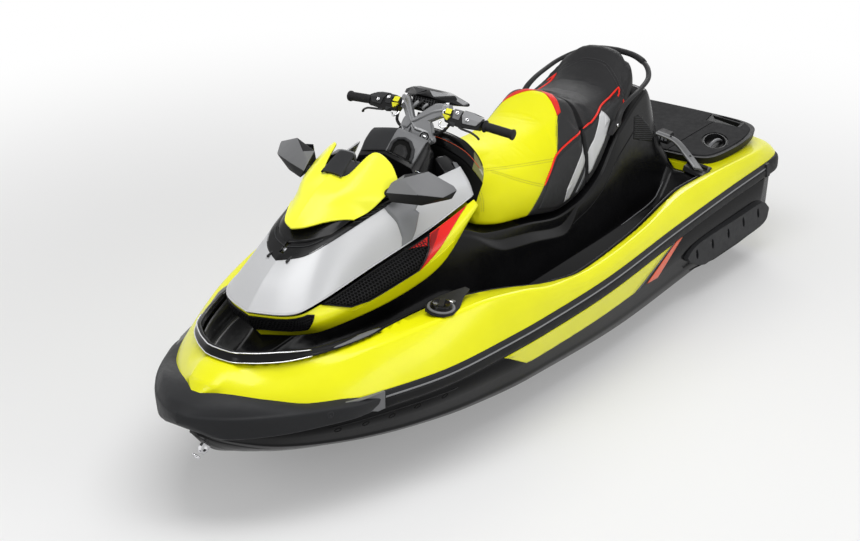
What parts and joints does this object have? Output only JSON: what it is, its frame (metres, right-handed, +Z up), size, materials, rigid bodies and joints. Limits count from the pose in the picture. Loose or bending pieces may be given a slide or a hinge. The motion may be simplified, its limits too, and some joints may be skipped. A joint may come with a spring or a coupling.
{
  "type": "personal watercraft",
  "caption": "Straddle-seat personal watercraft with a V hull, sprung deck, faired bow, handlebar steering and water-jet drive.",
  "frame": {"origin": "amidships on the centre plane, at the waterline 280 mm above the keel", "axes": "+X towards the bow, +Y to port, +Z up"},
  "size_m": [3.54, 1.2198, 1.1923],
  "materials": {
    "hull_black": "black gelcoat",
    "topside_yellow": "acid yellow gelcoat",
    "fairing_silver": "silver metallic paint with a darker grey flash",
    "bumper_grey": "moulded dark grey plastic",
    "bumper_black": "moulded black rubbery plastic",
    "trim_black": "satin black moulding",
    "trim_grey": "grey moulded plastic",
    "grille_black": "black mesh",
    "mat_black": "grooved foam mat",
    "seat_yellow": "yellow marine vinyl",
    "seat_black": "black marine vinyl",
    "webbing": "woven strap",
    "visor_yellow": "yellow painted moulding",
    "grip_rubber": "ribbed rubber",
    "steering_grey": "grey painted casting",
    "bar_black": "black powder coat",
    "stainless": "polished stainless steel",
    "cast_alloy": "machined casting",
    "engine_grey": "painted block",
    "spring_yellow": "coil spring and damper"
  },
  "bodies": {
    "hull": {"lower_hull": "hull_black", "topside": "topside_yellow", "bow_bumper": "bumper_grey", "left_bumper": "bumper_grey", "right_bumper": "bumper_grey", "stern_bumper": "bumper_black", "mouth_trim": "trim_black", "bow_eye": "stainless", "left_stern_eye": "stainless", "right_stern_eye": "stainless", "left_sponson": "bumper_grey", "right_sponson": "bumper_grey", "ride_plate": "cast_alloy", "intake_grate": "cast_alloy", "pump_housing": "cast_alloy", "engine_block": "engine_grey", "deck_springs": "spring_yellow", "fuel_cap": "trim_black", "deck_body": "trim_black", "left_foot_mat": "mat_black", "right_foot_mat": "mat_black", "rear_platform": "trim_black", "platform_mat": "mat_black", "left_arch": "trim_grey", "right_arch": "trim_grey", "front_fairing": "fairing_silver", "lower_fairing": "topside_yellow", "left_grille": "grille_black", "right_grille": "grille_black", "front_grille": "grille_black", "console": "trim_grey", "gauges": "trim_black", "storage_bin": "trim_black", "driver_seat": "seat_yellow", "seat_strap": "webbing", "grab_handle": "bar_black", "step_brackets": "cast_alloy", "passenger_seat": "seat_black"},
    "steering": {"steering_column": "bar_black", "steering_riser": "steering_grey", "handlebar": "bar_black", "bar_pad": "trim_black", "left_grip": "grip_rubber", "right_grip": "grip_rubber", "left_controls": "trim_grey", "right_controls": "trim_grey"},
    "hood": {"hood_base": "trim_black", "visor": "visor_yellow", "left_mirror": "bumper_black", "right_mirror": "bumper_black"},
    "impeller": {"impeller": "stainless", "drive_shaft": "stainless"},
    "trim_ring": {"trim_ring": "cast_alloy"},
    "nozzle": {"steering_nozzle": "cast_alloy"},
    "reverse_gate": {"reverse_gate": "bar_black"},
    "boarding_step": {"boarding_step": "bar_black"}
  },
  "joints": [
    {"name": "steering", "type": "hinge", "parent": "hull", "child": "steering", "pos_m": [0.36, 0, 0.76], "axis": [-0.4226, 0, 0.9063], "range_deg": [-25, 25]},
    {"name": "nozzle_trim", "type": "hinge", "parent": "hull", "child": "trim_ring", "pos_m": [-1.47, 0, -0.16], "axis": [0, 1, 0], "range_deg": [-8, 8]},
    {"name": "nozzle_steer", "type": "hinge", "parent": "trim_ring", "child": "nozzle", "pos_m": [-1.47, 0, -0.16], "axis": [0, 0, 1], "range_deg": [-20, 20]},
    {"name": "reverse_gate", "type": "hinge", "parent": "hull", "child": "reverse_gate", "pos_m": [-1.47, 0, -0.16], "axis": [0, -1, 0], "range_deg": [0, 50]},
    {"name": "impeller_spin", "type": "hinge", "parent": "hull", "child": "impeller", "pos_m": [-1.21, 0, -0.16], "axis": [1, 0, 0], "continuous": true},
    {"name": "hood", "type": "hinge", "parent": "hull", "child": "hood", "pos_m": [1.16, 0, 0.57], "axis": [0, 1, 0], "range_deg": [0, 55]},
    {"name": "boarding_step", "type": "hinge", "parent": "hull", "child": "boarding_step", "pos_m": [-1.652, -0.33, -0.13], "axis": [0, -1, 0], "range_deg": [0, 120]}
  ],
  "couplings": [
    {"joint": "nozzle_steer", "follows": "steering", "ratio": -0.8}
  ]
}
